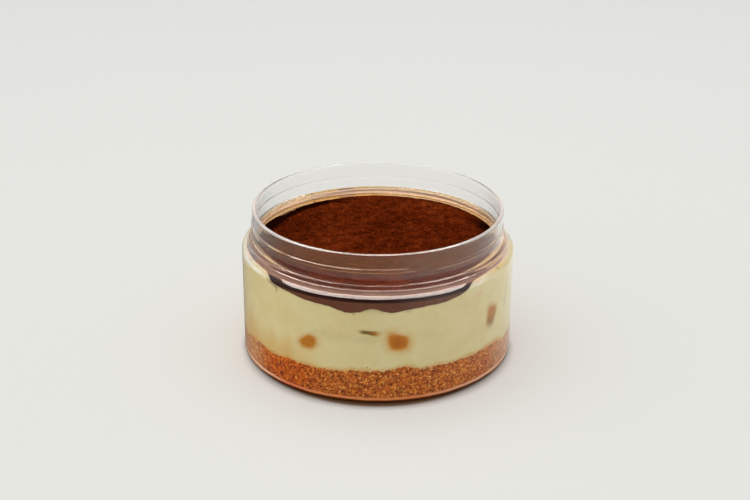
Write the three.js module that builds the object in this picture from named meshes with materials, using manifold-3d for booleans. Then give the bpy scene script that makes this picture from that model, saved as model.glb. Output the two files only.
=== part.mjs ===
// Tiramisu in a clear wide-mouth dessert jar: a thin-walled PET jar with a screw neck, filled with a
// biscuit-crumb base, a cream layer with soaked biscuit pieces pressed against the wall, and a layer of
// cocoa that fills the foot of the neck and dips under the shoulder on the front side.
// Millimetres, +Z up. Origin at the centre of the jar's underside, in the plane that it stands on.
// Azimuth 0 faces -Y (the front) and grows towards +X.

import * as THREE from "three";
import { mergeVertices } from "three/addons/utils/BufferGeometryUtils.js";
import Module from "manifold-3d";

// ---- jar ------------------------------------------------------------------------------------------
const BODY_R = 42.5; // outer radius of the body
const JAR_H = 46.35; // height from the table to the rim
const WALL = 0.8; // body wall
const NECK_R = 38.9; // outer radius of the neck
const NECK_BORE_R = 37.9; // inner radius of the neck
const LEDGE_Z = 34.8; // top of the flat shoulder ledge
const SHOULDER_FILLET = 2.0; // outer rounding between body and ledge
const HEEL_FILLET = 1.0; // outer rounding between body and base
const FOOT_IN_R = 36.0; // inner edge of the flat ring that the jar stands on
const PUSH_UP = 0.9; // how far the middle of the base is lifted
const BASE_T = 1.1; // base thickness
const BEAD_Z = [35.65, 37.4]; // transfer bead at the foot of the neck
const BEAD_R = 39.5;
const THREAD_Z = 41.35; // centre height where the thread starts
const THREAD_RISE = 0.45; // rise over the one turn
const THREAD_START = 24; // azimuth where the thread starts, just past the mould seam, degrees
const THREAD_TURN = 354; // degrees that the thread covers
const THREAD_R = 39.62; // crest radius of the thread
const THREAD_FOOT_W = 1.3; // width at the neck wall
const THREAD_CREST_W = 0.7; // width at the crest
const RIM_R = 0.4; // rounding of the rim

// ---- food -----------------------------------------------------------------------------------------
const GAP = 0.3; // clearance between neighbouring solids
const CRUMB_Z = 10.4; // mean height of the crumb base
const CREAM_TOP_Z = 32.2; // cream level under the middle of the cocoa
const CREAM_NECK_Z = 34.35; // cream level where it meets the neck
const COCOA_Z = 35.0; // cocoa level at the neck wall
const COCOA_CROWN = 0.45; // how much the cocoa stands higher in the middle
const BAND_AZ = -5.5; // azimuth of the middle of the front cocoa band
const BAND_HALF = 47; // half the angle that the band covers, degrees
const BAND_DEPTH = 4.0; // greatest depth of the band below the inside of the shoulder

const SEG = 60; // facets round the jar and its layers
const RAD = Math.PI / 180;

// ---- solids ---------------------------------------------------------------------------------------
const wasm = await Module();
wasm.setup();

// A closed three.js geometry becomes a solid once its shared corners are merged.
function solid(geometry) {
  const bare = geometry.clone();
  bare.deleteAttribute("normal");
  bare.deleteAttribute("uv");
  const merged = mergeVertices(bare, 1e-4);
  const index = merged.index.array;
  const triVerts = [];
  for (let i = 0; i < index.length; i += 3) {
    const [a, b, c] = [index[i], index[i + 1], index[i + 2]];
    if (a !== b && b !== c && c !== a) triVerts.push(a, b, c);
  }
  return new wasm.Manifold(
    new wasm.Mesh({
      numProp: 3,
      vertProperties: new Float32Array(merged.attributes.position.array),
      triVerts: new Uint32Array(triVerts),
    }),
  );
}

function geometryOf(body) {
  const mesh = body.getMesh();
  const geometry = new THREE.BufferGeometry();
  const count = mesh.vertProperties.length / mesh.numProp;
  const position = new Float32Array(count * 3);
  for (let i = 0; i < count; i++)
    for (let k = 0; k < 3; k++) position[i * 3 + k] = mesh.vertProperties[i * mesh.numProp + k];
  geometry.setAttribute("position", new THREE.BufferAttribute(position, 3));
  geometry.setIndex(new THREE.BufferAttribute(new Uint32Array(mesh.triVerts), 1));
  geometry.computeVertexNormals();
  return geometry;
}

// [radius, height] pairs turned about Z. Azimuth 0 is at -Y.
function turned(profile, segments = SEG) {
  const geometry = new THREE.LatheGeometry(
    profile.map(([r, z]) => new THREE.Vector2(r, z)),
    segments,
  );
  geometry.rotateX(Math.PI / 2);
  return geometry;
}

// Points on a rounding from angle a0 to a1 (degrees), about [cr, cz] with radius r.
function arc(cr, cz, r, a0, a1, steps) {
  const points = [];
  for (let i = 0; i <= steps; i++) {
    const a = (a0 + ((a1 - a0) * i) / steps) * RAD;
    points.push([cr + r * Math.cos(a), cz + r * Math.sin(a)]);
  }
  return points;
}

// The inside of the jar, from the middle of its floor up to height `top`, pulled in by `inset`.
function inside(inset, top) {
  const body = BODY_R - WALL - inset;
  const bore = NECK_BORE_R - inset;
  const floor = BASE_T + inset;
  const under = LEDGE_Z - WALL - inset;
  return [
    [0, PUSH_UP + floor],
    [FOOT_IN_R - 6, PUSH_UP + floor],
    [FOOT_IN_R, floor + 0.15],
    ...arc(body - 0.9, floor + 0.9, 0.9, -90, 0, 2),
    ...arc(body - 1.3, under - 1.3, 1.3, 0, 90, 2),
    [bore + 0.5, under],
    [bore, under + 0.5],
    [bore, top],
  ];
}

function jarShell() {
  const outer = [
    [0, PUSH_UP],
    [FOOT_IN_R - 6, PUSH_UP],
    [FOOT_IN_R, 0],
    ...arc(BODY_R - HEEL_FILLET, HEEL_FILLET, HEEL_FILLET, -90, 0, 2),
    ...arc(BODY_R - SHOULDER_FILLET, LEDGE_Z - SHOULDER_FILLET, SHOULDER_FILLET, 0, 90, 3),
    [NECK_R + 0.4, LEDGE_Z],
    [NECK_R, LEDGE_Z + 0.4],
    [NECK_R, BEAD_Z[0]],
    [BEAD_R, BEAD_Z[0] + 0.4],
    [BEAD_R, BEAD_Z[1] - 0.4],
    [NECK_R, BEAD_Z[1]],
    ...arc(NECK_R - RIM_R, JAR_H - RIM_R, RIM_R, 0, 90, 2),
    ...arc(NECK_BORE_R + RIM_R, JAR_H - RIM_R, RIM_R, 90, 180, 2),
  ];
  const inner = inside(0, JAR_H - RIM_R - 4).reverse();
  return solid(turned([...outer, ...inner]));
}

// One turn of the screw thread: a low ridge with bevelled flanks that runs out at both ends.
function thread() {
  const steps = 59;
  const root = NECK_R - 0.35;
  const corners = [];
  for (let i = 0; i <= steps; i++) {
    const t = i / steps;
    const az = (THREAD_START + THREAD_TURN * t) * RAD;
    const run = Math.min(1, 12 * Math.min(t, 1 - t) + 0.35);
    const crest = NECK_R + (THREAD_R - NECK_R) * run;
    const z = THREAD_Z + THREAD_RISE * t;
    for (const [r, dz] of [
      [root, -THREAD_FOOT_W / 2 - 0.1],
      [crest, -THREAD_CREST_W / 2],
      [crest, THREAD_CREST_W / 2],
      [root, THREAD_FOOT_W / 2 + 0.1],
    ])
      corners.push(r * Math.sin(az), -r * Math.cos(az), z + dz);
  }
  const index = [];
  for (let i = 0; i < steps; i++)
    for (let k = 0; k < 4; k++) {
      const a = i * 4 + k;
      const b = i * 4 + ((k + 1) % 4);
      index.push(a, a + 4, b + 4, a, b + 4, b);
    }
  const e = steps * 4;
  index.push(0, 1, 2, 0, 2, 3, e, e + 2, e + 1, e, e + 3, e + 2);
  const geometry = new THREE.BufferGeometry();
  geometry.setAttribute("position", new THREE.Float32BufferAttribute(corners, 3));
  geometry.setIndex(index);
  return solid(geometry);
}

// ---- the uneven surfaces between the layers, as heights over radius and azimuth ---------------------
// How far a wrapped azimuth is from `centre`, in degrees.
function away(az, centre) {
  return ((((az - centre) % 360) + 540) % 360) - 180;
}
function hump(az, centre, width) {
  return Math.exp(-((away(az, centre) / width) ** 2));
}
function smooth(t) {
  const s = Math.min(1, Math.max(0, t));
  return s * s * (3 - 2 * s);
}

// Top of the crumb base: highest at the front right, falling away at the left.
function crumbTop(r, az) {
  const wall =
    CRUMB_Z +
    1.3 * Math.cos((az - 15) * RAD) +
    0.35 * Math.sin(3 * az * RAD + 0.6) -
    2.4 * hump(az, -82, 26) -
    0.8 * hump(az, 45, 9) -
    0.9 * hump(az, 74, 14);
  const middle = CRUMB_Z + 0.5 * Math.sin(r / 6) * Math.cos(2 * az * RAD + 1);
  return middle + (wall - middle) * smooth(r / 40);
}

// Depth of the cocoa below the inside of the shoulder, at the wall.
function bandDepth(az) {
  const u = Math.abs(away(az, BAND_AZ)) / BAND_HALF;
  const front = BAND_DEPTH * (1 - u ** 2.2);
  const back = 1.6 * (1 - (Math.abs(away(az, 196)) / 21) ** 2);
  return Math.max(front, back, -1.2);
}

// Boundary between cream and cocoa.
function creamTop(r, az) {
  const depth = bandDepth(az);
  const underShoulder = LEDGE_Z - WALL - GAP;
  const wall = underShoulder - depth;
  const neck = depth > 0 ? Math.min(CREAM_NECK_Z, wall + 1.4) : CREAM_NECK_Z;
  if (r < 30) return CREAM_TOP_Z;
  if (r < NECK_BORE_R - GAP)
    return CREAM_TOP_Z + (neck - CREAM_TOP_Z) * smooth((r - 30) / (NECK_BORE_R - GAP - 30));
  return neck + (wall - neck) * smooth((r - NECK_BORE_R + GAP) / 3.6);
}

// Top of the cocoa: gently crowned and a little uneven.
function cocoaTop(r, az) {
  return (
    COCOA_Z +
    COCOA_CROWN * (1 - (r / NECK_BORE_R) ** 2) +
    0.12 * Math.sin(r / 5 + 1) * Math.cos(3 * az * RAD + 0.4)
  );
}

const RINGS = [16, 30, NECK_BORE_R - GAP, BODY_R - WALL - GAP, BODY_R + 3];

// A disc of food wider than the jar, between two height functions.
function disc(low, high) {
  const positions = [0, 0, low(0, 0), 0, 0, high(0, 0)];
  for (const surface of [low, high])
    for (const r of RINGS)
      for (let j = 0; j < SEG; j++) {
        const az = (360 * j) / SEG;
        positions.push(r * Math.sin(az * RAD), -r * Math.cos(az * RAD), surface(r, az));
      }
  const n = RINGS.length;
  const at = (side, ring, j) => 2 + (side * n + ring) * SEG + (j % SEG);
  const index = [];
  for (let j = 0; j < SEG; j++) {
    index.push(0, at(0, 0, j + 1), at(0, 0, j));
    index.push(1, at(1, 0, j), at(1, 0, j + 1));
    for (let k = 0; k + 1 < n; k++) {
      index.push(at(0, k, j), at(0, k + 1, j + 1), at(0, k + 1, j));
      index.push(at(0, k, j), at(0, k, j + 1), at(0, k + 1, j + 1));
      index.push(at(1, k, j), at(1, k + 1, j), at(1, k + 1, j + 1));
      index.push(at(1, k, j), at(1, k + 1, j + 1), at(1, k, j + 1));
    }
    index.push(at(0, n - 1, j), at(0, n - 1, j + 1), at(1, n - 1, j + 1));
    index.push(at(0, n - 1, j), at(1, n - 1, j + 1), at(1, n - 1, j));
  }
  const geometry = new THREE.BufferGeometry();
  geometry.setAttribute("position", new THREE.Float32BufferAttribute(positions, 3));
  geometry.setIndex(index);
  return solid(geometry);
}

// A soaked piece of biscuit: a lumpy egg, its long axis tilted by `tilt` degrees in the plane of the wall.
function lump({ az, z, wide, tall, deep, tilt, phase, detail = 2 }, grow) {
  const geometry = new THREE.IcosahedronGeometry(1, detail);
  const p = geometry.attributes.position;
  const v = new THREE.Vector3();
  for (let i = 0; i < p.count; i++) {
    v.fromBufferAttribute(p, i).normalize();
    const bump =
      1 +
      0.1 * Math.sin(3.1 * v.x + 2.3 * v.z + phase) +
      0.08 * Math.sin(5.2 * v.y - 3.7 * v.x + 2 * phase);
    p.setXYZ(
      i,
      (v.x * bump * wide) / 2 + v.x * grow,
      (v.y * bump * deep) / 2 + v.y * grow,
      (v.z * bump * tall) / 2 + v.z * grow,
    );
  }
  geometry.rotateY(tilt * RAD);
  geometry.translate(0, -(BODY_R - WALL - GAP) + deep * 0.36, z);
  geometry.rotateZ(az * RAD);
  return solid(geometry);
}

const BISCUITS = {
  biscuit_left: { az: -29.2, z: 17.6, wide: 6.6, tall: 5.2, deep: 6.0, tilt: -8, phase: 0.4 },
  biscuit_centre: { az: 8.9, z: 20.6, wide: 6.8, tall: 6.4, deep: 7.0, tilt: 6, phase: 1.7 },
  biscuit_sliver: { az: -3.2, z: 23.35, wide: 7.2, tall: 1.5, deep: 3.4, tilt: 6, phase: 2.6, detail: 1 },
  biscuit_right: { az: 55.4, z: 20.4, wide: 3.8, tall: 7.4, deep: 4.6, tilt: 20, phase: 3.3 },
  biscuit_back_left: { az: 142, z: 19.0, wide: 6.4, tall: 5.0, deep: 5.6, tilt: 14, phase: 4.1, detail: 1 },
  biscuit_back: { az: 197, z: 22.4, wide: 5.2, tall: 6.2, deep: 5.0, tilt: -16, phase: 5.2, detail: 1 },
  biscuit_side: { az: 262, z: 18.6, wide: 5.6, tall: 4.4, deep: 5.0, tilt: 10, phase: 6.3, detail: 1 },
};

// ---- pieces ---------------------------------------------------------------------------------------
const room = solid(turned([...inside(GAP, COCOA_Z + 3), [0, COCOA_Z + 3]]));
const half = GAP / 2;

const jar = jarShell().add(thread());
const crumbs = room.intersect(disc(() => 0.5, (r, az) => crumbTop(r, az) - half));
const cocoa = room.intersect(disc((r, az) => creamTop(r, az) + half, cocoaTop));
let cream = room.intersect(
  disc((r, az) => crumbTop(r, az) + half, (r, az) => creamTop(r, az) - half),
);
const biscuits = {};
for (const [name, spec] of Object.entries(BISCUITS)) {
  biscuits[name] = room.intersect(lump(spec, 0));
  cream = cream.subtract(lump(spec, GAP));
}

const tiramisu = new THREE.Group();
tiramisu.name = "tiramisu";
function add(name, body, color, roughness, extra = {}) {
  const mesh = new THREE.Mesh(
    geometryOf(body),
    new THREE.MeshStandardMaterial({ color, roughness, metalness: 0, ...extra }),
  );
  mesh.name = name;
  tiramisu.add(mesh);
}
add("jar", jar, 0xe9eef0, 0.05, { transparent: true, opacity: 0.25 });
add("crumb_base", crumbs, 0xb07338, 0.85);
add("cream", cream, 0xcfbf92, 0.5);
add("cocoa_layer", cocoa, 0x581d08, 0.9);
for (const [name, body] of Object.entries(biscuits)) add(name, body, 0xb4702e, 0.7);

export default tiramisu;
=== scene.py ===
import math

import bmesh
import bpy
import numpy as np
from mathutils import Matrix


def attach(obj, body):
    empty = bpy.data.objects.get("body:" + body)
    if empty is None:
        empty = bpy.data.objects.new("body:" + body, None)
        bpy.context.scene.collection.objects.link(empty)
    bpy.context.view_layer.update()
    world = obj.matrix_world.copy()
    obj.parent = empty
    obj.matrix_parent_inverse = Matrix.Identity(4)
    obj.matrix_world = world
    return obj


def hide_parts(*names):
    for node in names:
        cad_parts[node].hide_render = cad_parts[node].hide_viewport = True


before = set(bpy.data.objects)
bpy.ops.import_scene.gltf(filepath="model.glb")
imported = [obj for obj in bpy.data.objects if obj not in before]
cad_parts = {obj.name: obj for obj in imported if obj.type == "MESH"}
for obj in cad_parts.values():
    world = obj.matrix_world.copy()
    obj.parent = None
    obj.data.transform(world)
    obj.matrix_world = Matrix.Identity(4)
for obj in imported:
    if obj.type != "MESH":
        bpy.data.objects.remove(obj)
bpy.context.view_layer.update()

RAD = math.pi / 180

# ---- sizes, in millimetres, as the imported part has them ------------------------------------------
BODY_R, JAR_H, WALL = 42.5, 46.35, 0.8
NECK_R, BORE_R = 38.9, 37.9
LEDGE_Z, SHOULDER_FILLET, HEEL_FILLET = 34.8, 2.0, 1.0
FOOT_IN_R, PUSH_UP, BASE_T = 36.0, 0.9, 1.1
THREAD_Z, THREAD_RISE, THREAD_START, THREAD_TURN, THREAD_R = 41.35, 0.45, 24.0, 354.0, 39.62
CRUMB_Z, CREAM_TOP_Z, CREAM_NECK_Z = 10.4, 32.2, 34.35
COCOA_Z, COCOA_CROWN = 35.0, 0.45
FOOT_Z = 33.35  # where the shoulder leaves the wall
IN_WALL = 0.07  # how far what fills the jar reaches into its wall

rng = np.random.default_rng(20261124)


# ---- noise ----------------------------------------------------------------------------------------
def lattice(ix, iy, iz, seed):
    h = (
        ix.astype(np.int64) * 374761393
        + iy.astype(np.int64) * 668265263
        + iz.astype(np.int64) * 1442695041
        + seed * 1013904223
    ) & 0xFFFFFFFF
    h = ((h ^ (h >> 13)) * 1274126177) & 0xFFFFFFFF
    h = ((h ^ (h >> 15)) * 2246822519) & 0xFFFFFFFF
    return ((h ^ (h >> 16)) & 0xFFFFFF) / 8388608.0 - 1.0


def noise(p, seed=0):
    """Smooth value noise from -1 to 1 at points p (..., 3)."""
    base = np.floor(p)
    f = p - base
    f = f * f * (3 - 2 * f)
    b = base.astype(np.int64)
    out = 0.0
    for dx in (0, 1):
        for dy in (0, 1):
            for dz in (0, 1):
                w = (
                    (f[..., 0] if dx else 1 - f[..., 0])
                    * (f[..., 1] if dy else 1 - f[..., 1])
                    * (f[..., 2] if dz else 1 - f[..., 2])
                )
                out = out + w * lattice(b[..., 0] + dx, b[..., 1] + dy, b[..., 2] + dz, seed)
    return out


def fractal(p, octaves=4, gain=0.5, seed=0):
    total, size, reach = 0.0, 1.0, 0.0
    for k in range(octaves):
        total = total + size * noise(p * 2.0**k + 17.3 * k, seed + k)
        reach += size
        size *= gain
    return total / reach


def smooth(t):
    s = np.clip(t, 0.0, 1.0)
    return s * s * (3 - 2 * s)


def away(az, centre):
    return (np.asarray(az) - centre + 540.0) % 360.0 - 180.0


def hump(az, centre, width):
    return np.exp(-((away(az, centre) / width) ** 2))


def around(r, az, z):
    """Points from radius, azimuth in degrees (0 faces -Y, towards +X) and height."""
    r, az, z = np.broadcast_arrays(
        np.asarray(r, float), np.asarray(az, float), np.asarray(z, float)
    )
    return np.stack([r * np.sin(az * RAD), -r * np.cos(az * RAD), z], -1)


# ---- meshes ---------------------------------------------------------------------------------------
def make_mesh(name, points, faces, attributes=None, is_smooth=True):
    """A mesh object from points in millimetres and one or more face arrays."""
    mesh = bpy.data.meshes.new(name)
    faces = [f for group in faces for f in np.asarray(group).tolist()]
    mesh.from_pydata((np.asarray(points) * 0.001).tolist(), [], faces)
    for key, values in (attributes or {}).items():
        layer = mesh.attributes.new(key, "FLOAT", "POINT")
        layer.data.foreach_set("value", np.asarray(values, np.float32))
    mesh.polygons.foreach_set("use_smooth", np.full(len(mesh.polygons), is_smooth))
    mesh.update()
    ob = bpy.data.objects.new(name, mesh)
    bpy.context.scene.collection.objects.link(ob)
    return ob


def ring_faces(rings, count, first=0):
    """Quads between `rings` rings of `count` points each, which follow each other."""
    i = np.arange(rings - 1)[:, None] * count + first
    j = np.arange(count)[None, :]
    k = (j + 1) % count
    return np.stack([i + j, i + k, i + count + k, i + count + j], -1).reshape(-1, 4)


def fan(centre, ring, count, flip=False):
    j = np.arange(count)
    k = (j + 1) % count
    tri = np.stack([np.full(count, centre), ring + (j if flip else k), ring + (k if flip else j)], -1)
    return tri


def shell(name, grid, low_centre, high_centre, attributes=None):
    """A closed piece from grid (rings, count, 3), outwards and up from low_centre, then back in to high_centre."""
    rings, count = grid.shape[:2]
    points = np.concatenate([grid.reshape(-1, 3), [low_centre, high_centre]])
    n = rings * count
    faces = [ring_faces(rings, count), fan(n, 0, count), fan(n + 1, n - count, count, True)]
    return make_mesh(name, points, faces, attributes)


def arc(cr, cz, r, a0, a1, steps):
    a = np.linspace(a0, a1, steps + 1) * RAD
    return np.stack([cr + r * np.cos(a), cz + r * np.sin(a)], -1)


def run(a, b, steps):
    t = np.linspace(0, 1, steps + 1)[:, None]
    return np.asarray(a) * (1 - t) + np.asarray(b) * t


# ---- node helpers ---------------------------------------------------------------------------------
class Tree:
    def __init__(self, name):
        self.mat = bpy.data.materials.new(name)
        self.mat.use_nodes = True
        self.nt = self.mat.node_tree
        self.nt.nodes.clear()
        self.out = self.nt.nodes.new("ShaderNodeOutputMaterial")

    def put(self, socket, value):
        if isinstance(value, bpy.types.NodeSocket):
            self.nt.links.new(value, socket)
        elif value is not None:
            if hasattr(socket.default_value, "__len__") and not hasattr(value, "__len__"):
                value = [value] * len(socket.default_value)
            if socket.type == "RGBA" and len(value) == 3:
                value = (*value, 1.0)
            socket.default_value = value

    def node(self, kind, ins=None, **props):
        n = self.nt.nodes.new(kind)
        for k, v in props.items():
            setattr(n, k, v)
        for k, v in (ins or {}).items():
            self.put(n.inputs[k], v)
        return n

    def coords(self):
        return self.node("ShaderNodeTexCoord").outputs["Object"]

    def scaled(self, vector, scale):
        return self.node("ShaderNodeMapping", {"Vector": vector, "Scale": scale}).outputs[0]

    def noise(self, vector, scale, detail=3.0, rough=0.5, distortion=0.0):
        return self.node(
            "ShaderNodeTexNoise",
            {"Vector": vector, "Scale": scale, "Detail": detail, "Roughness": rough, "Distortion": distortion},
        ).outputs["Fac"]

    def voronoi(self, vector, scale, out="Distance", feature="F1"):
        return self.node(
            "ShaderNodeTexVoronoi", {"Vector": vector, "Scale": scale}, feature=feature
        ).outputs[out]

    def attribute(self, name):
        return self.node("ShaderNodeAttribute", attribute_name=name).outputs["Fac"]

    def math(self, op, a, b=0.0, c=0.0, clamp=False):
        n = self.node("ShaderNodeMath", operation=op, use_clamp=clamp)
        for i, v in enumerate((a, b, c)):
            self.put(n.inputs[i], v)
        return n.outputs[0]

    def remap(self, value, a, b, c=0.0, d=1.0, smoothed=False):
        n = self.node(
            "ShaderNodeMapRange",
            {"Value": value, "From Min": a, "From Max": b, "To Min": c, "To Max": d},
            interpolation_type="SMOOTHSTEP" if smoothed else "LINEAR",
        )
        return n.outputs[0]

    def mix(self, fac, a, b, blend="MIX"):
        n = self.node("ShaderNodeMix", data_type="RGBA", blend_type=blend)
        self.put(n.inputs["Factor"], fac)
        self.put(n.inputs[6], a)
        self.put(n.inputs[7], b)
        return n.outputs[2]

    def ramp(self, value, stops):
        n = self.node("ShaderNodeValToRGB", {"Fac": value})
        ramp = n.color_ramp
        while len(ramp.elements) > 1:
            ramp.elements.remove(ramp.elements[-1])
        ramp.elements[0].position, ramp.elements[0].color = stops[0][0], (*stops[0][1], 1)
        for pos, col in stops[1:]:
            ramp.elements.new(pos).color = (*col, 1)
        return n.outputs["Color"]

    def bump(self, height, strength, distance, normal=None):
        n = self.node("ShaderNodeBump", {"Height": height, "Strength": strength, "Distance": distance})
        if normal is not None:
            self.put(n.inputs["Normal"], normal)
        return n.outputs[0]

    def surface(self, socket):
        self.nt.links.new(socket, self.out.inputs["Surface"])
        return self.mat


def rgb(r, g, b):
    """Linear colour from sRGB bytes."""
    return tuple(
        (c / 255 / 12.92) if c / 255 <= 0.04045 else ((c / 255 + 0.055) / 1.055) ** 2.4
        for c in (r, g, b)
    )


# ---- camera ---------------------------------------------------------------------------------------
cam = bpy.data.cameras.new("camera")
cam_ob = bpy.data.objects.new("camera", cam)
bpy.context.scene.collection.objects.link(cam_ob)
cam.sensor_width = 36.0
cam.sensor_fit = "HORIZONTAL"
cam.lens = 1380.5735 / 750 * 36
cam.clip_start, cam.clip_end = 0.01, 30
cam_ob.matrix_world = Matrix(
    (
        (0.99997732, -0.00644981, 0.00193877, 0.0),
        (0.00436305, 0.40109362, -0.91602668, -0.39816093),
        (0.00513057, 0.91601436, 0.40111265, 0.20535690),
        (0.0, 0.0, 0.0, 1.0),
    )
)
bpy.context.scene.camera = cam_ob

# ---- surfaces between the layers ------------------------------------------------------------------
CRUMB_EDGE = np.array(
    [
        (-180, 9.2), (-150, 9.6), (-120, 9.0), (-100, 8.2), (-82, 8.5), (-74, 9.0), (-71, 8.7), (-65, 9.8),
        (-58, 10.4), (-54, 10.0), (-49, 9.4), (-44, 9.8), (-38, 10.5), (-34, 10.1), (-30, 9.9), (-26, 10.2),
        (-17, 10.2), (-13, 10.5), (-10, 11.0), (-3, 10.9), (5, 11.2), (9, 12.1), (12, 12.0), (15.5, 11.5),
        (19, 10.7), (23, 10.7), (26, 11.4), (31, 10.9), (36, 11.0), (46, 10.9), (52, 11.1), (58, 10.8),
        (67, 9.5), (82, 9.7), (105, 10.4), (130, 9.6), (155, 9.9), (180, 9.2),
    ]
)
BAND_EDGE = np.array(
    [
        (-56, 35.0), (-53.6, 34.35), (-51.0, 33.8), (-47.6, 32.95), (-44.5, 32.4), (-41, 32.1), (-38.3, 31.9), (-35.4, 31.6),
        (-30.2, 31.1), (-24.9, 30.75), (-18.9, 30.5), (-15.6, 29.85), (-12.7, 29.3), (-9.7, 29.35), (-6.8, 29.7),
        (-4.4, 30.5), (-2.5, 31.05), (-0.2, 30.95), (2.1, 30.15), (5.1, 29.65), (8, 29.8), (11, 30.1), (15.6, 30.4),
        (20.9, 30.9), (25.5, 30.95), (30, 31.15), (34.5, 31.85), (38.1, 32.7), (41.0, 33.5), (43.2, 34.1), (45.5, 35.0),
    ]
)


def crumb_wall(az):
    """Height of the crumbs at the wall."""
    return np.interp(away(az, 0), CRUMB_EDGE[:, 0], CRUMB_EDGE[:, 1]) - 0.25


def crumb_top(r, az):
    wall = crumb_wall(az)
    middle = CRUMB_Z + 0.5 * np.sin(r / 6) * np.cos(2 * az * RAD + 1)
    return middle + (wall - middle) * smooth(r / 40)


def band_edge(az):
    """Lower edge of the cocoa at the wall."""
    front = np.interp(away(az, 0), BAND_EDGE[:, 0], BAND_EDGE[:, 1])
    fine = 0.10 * noise(around(20.0, az, 0.0) / 1.3, 5) + 0.07 * noise(around(20.0, az, 0.0) / 0.45, 6)
    d = np.abs(away(az, 196))
    back = 32.3 + 0.35 * noise(around(20.0, az, 3.0) / 2.2, 9) + 1.3 * smooth((d - 6) / 12) + 1.6 * np.maximum(d - 17.0, 0.0)
    return np.minimum(np.minimum(front + fine, back), 35.0)


def under_ledge(r, az):
    """Degrees inside the stretch where cocoa, not cream, lies under the ledge. It widens towards the neck."""
    t = np.clip((41.4 - r) / 3.4, 0, 1.2)
    ragged = 2.2 * noise(around(r, az, 0.0) / 2.6, 21) + 1.0 * noise(around(r, az, 0.0) / 0.9, 22)
    a = away(az, 0)
    front = np.minimum(a + 51.5 + 14 * t + 75 * np.maximum(t - 0.5, 0), 41.5 + 17 * t + 85 * np.maximum(t - 0.58, 0) - a)
    back = 20 - 60 * t - np.abs(away(az, 196))
    return np.maximum(front, back) + ragged * (0.3 + 0.7 * np.minimum(t, 1))


def cream_top(r, az):
    wall = band_edge(az)
    inside = under_ledge(r, az)
    low = np.minimum(wall, 33.7) + 0.35 * smooth((41.4 - r) / 3.6)
    at_ledge = np.where(inside <= 0, CREAM_NECK_Z, np.maximum(low, CREAM_NECK_Z - 0.5 * inside))
    outer = at_ledge + (wall - at_ledge) * smooth((r - 40.6) / 0.9)
    neck = np.minimum(at_ledge, CREAM_NECK_Z)
    inner = CREAM_TOP_Z + (neck - CREAM_TOP_Z) * smooth((r - 30) / (BORE_R - 0.3 - 30))
    return np.where(r < 30, CREAM_TOP_Z, np.where(r < BORE_R - 0.3, inner, outer))


def cocoa_top(r, az):
    groove = 0.35 + 0.3 * noise(around(30.0, az, 5.0) / 9.0, 23) + 0.55 * hump(az, -139, 24) + 0.4 * hump(az, 108, 14)
    return (
        COCOA_Z
        + COCOA_CROWN * (1 - (r / BORE_R) ** 2)
        + 0.12 * np.sin(r / 5 + 1) * np.cos(3 * az * RAD + 0.4)
        - groove * smooth((r - 34.2) / 3.4)
    )


def cocoa_shade(r, az):
    """How dark the cocoa is painted as shade: most in two patches at the neck, a little over its outer left."""
    rag = 0.8 * fractal(around(r, az, 0.0) / 3.0, 3, 0.6, 24)
    patches = 1.6 * hump(az, -129, 30) * smooth((r - 31.8 + rag) / 2.6) + hump(az, 108, 11) * smooth((r - 31.5 + rag) / 4.0)
    return np.minimum(patches + 0.25 * hump(az, -95, 55) * smooth((r - 12.0) / 16.0), 1.0)


def cavity(e, steps=120):
    """The inside of the jar as (radius, height), from the floor's edge up the wall to the neck, grown by e."""
    body, bore, floor, under = BODY_R - WALL + e, BORE_R + e, BASE_T - e, LEDGE_Z - WALL + e
    return np.concatenate(
        [
            arc(body - 0.9, floor + 0.9, 0.9, -90, 0, 6),
            run((body, floor + 1.0), (body, under - 1.35), steps),
            arc(body - 1.3, under - 1.3, 1.3, 0, 90, 10),
            run((body - 1.4, under), (bore + 0.5, under), 12),
            arc(bore + 0.5, under + 0.5, 0.5, 270, 180, 5),
            run((bore, under + 0.6), (bore, 37.0), 14),
        ]
    )


# ---- jar ------------------------------------------------------------------------------------------
def neck_foot():
    """Up from the wall over the shoulder's edge, the sloping ledge, a step and the bead to the plain neck."""
    turns = np.array(
        [
            # elevation of the surface's normal in degrees, length along the surface
            (6, 0.12), (14, 0.16), (26, 0.18), (38, 0.14), (50, 0.10),
            (58, 0.30), (59, 0.33), (60, 0.33), (61, 0.24),
            (60, 0.04), (40, 0.05), (22, 0.12), (10, 0.42), (8, 0.42), (8, 0.26),
            (25, 0.03), (45, 0.05), (62, 0.16), (68, 0.22), (60, 0.05), (30, 0.03),
            (6, 0.26), (14, 0.25), (25, 0.25), (38, 0.24), (50, 0.12),
            (60, 0.16), (66, 0.20), (50, 0.08), (36, 0.16), (26, 0.28), (18, 0.38), (12, 0.42), (7, 0.45),
        ]
    )
    out, up = np.sin(turns[:, 0] * RAD) * turns[:, 1], np.cos(turns[:, 0] * RAD) * turns[:, 1]
    r, z = np.cumsum(np.append(0, out)), np.cumsum(np.append(0, up))
    return np.stack([BODY_R - r * (BODY_R - NECK_R) / r[-1], FOOT_Z + z * (38.8 - FOOT_Z) / z[-1]], -1)


def rim_lip():
    """Over the rim, from the neck's outside to its bore: a rounded lip that is flatter towards its outside."""
    turns = np.array(
        [
            (4, 0.10), (25, 0.12), (45, 0.10), (60, 0.20), (66, 0.20), (71, 0.20), (77, 0.14), (88, 0.10),
            (108, 0.10), (130, 0.12), (152, 0.12), (170, 0.12),
        ]
    )
    out, up = np.sin(turns[:, 0] * RAD) * turns[:, 1], np.cos(turns[:, 0] * RAD) * turns[:, 1]
    r, z = np.cumsum(np.append(0, out)), np.cumsum(np.append(0, up))
    start = NECK_R + 0.12
    return np.stack([start - r * (start - BORE_R) / r[-1], JAR_H + 0.08 + z - z.max()], -1)


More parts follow.
